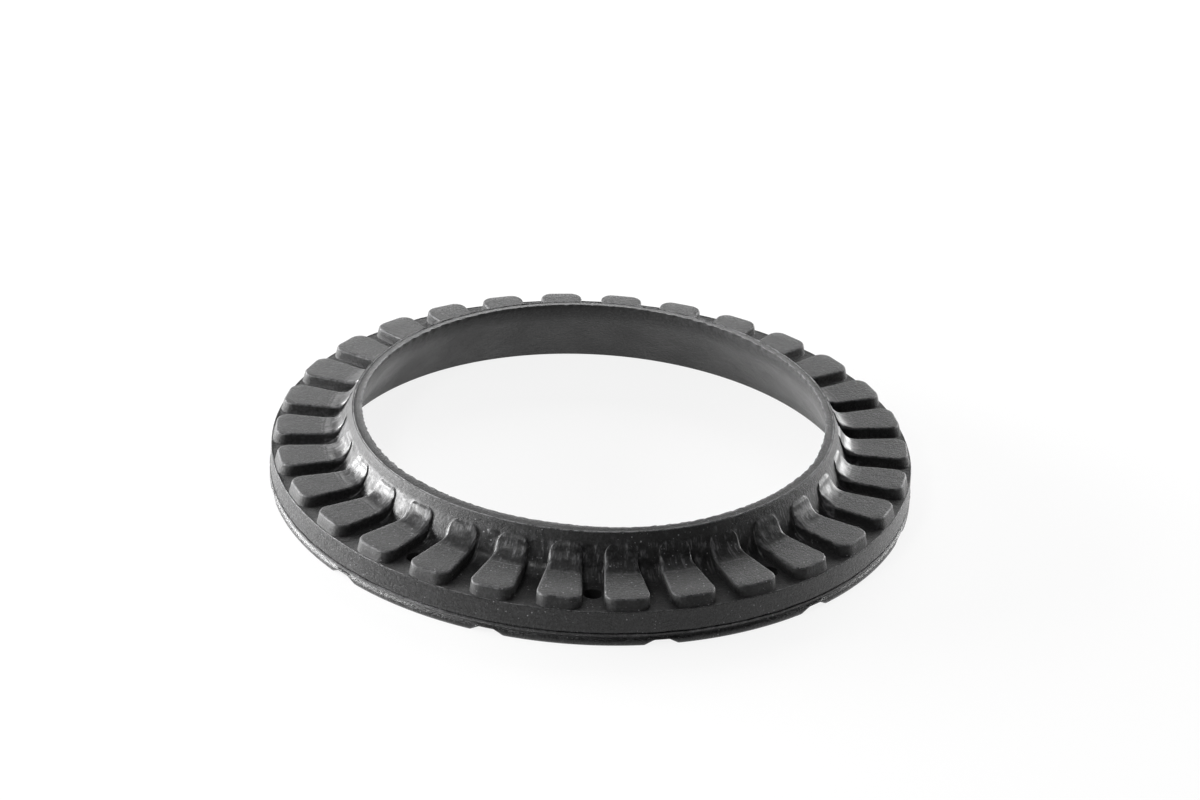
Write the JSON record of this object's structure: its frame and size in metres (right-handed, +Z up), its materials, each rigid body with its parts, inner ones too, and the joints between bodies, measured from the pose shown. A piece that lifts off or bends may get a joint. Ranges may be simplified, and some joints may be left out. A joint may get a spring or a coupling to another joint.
{
  "type": "coil spring insulator",
  "caption": "Moulded rubber spring seat: a flanged ring with radial ribs for the coil and a flared collar that centres it.",
  "frame": {"origin": "centre of the flat underside", "axes": "+Z up along the ring's axis, from the underside towards the collar's lip; -Y through the middle of a channel with a hole, which faces the camera in the picture"},
  "size_m": [0.16, 0.16, 0.0194],
  "materials": {
    "rubber": "matt moulded rubber with a faint satin sheen"
  },
  "bodies": {
    "root": {"spring_insulator": "rubber"}
  },
  "joints": []
}
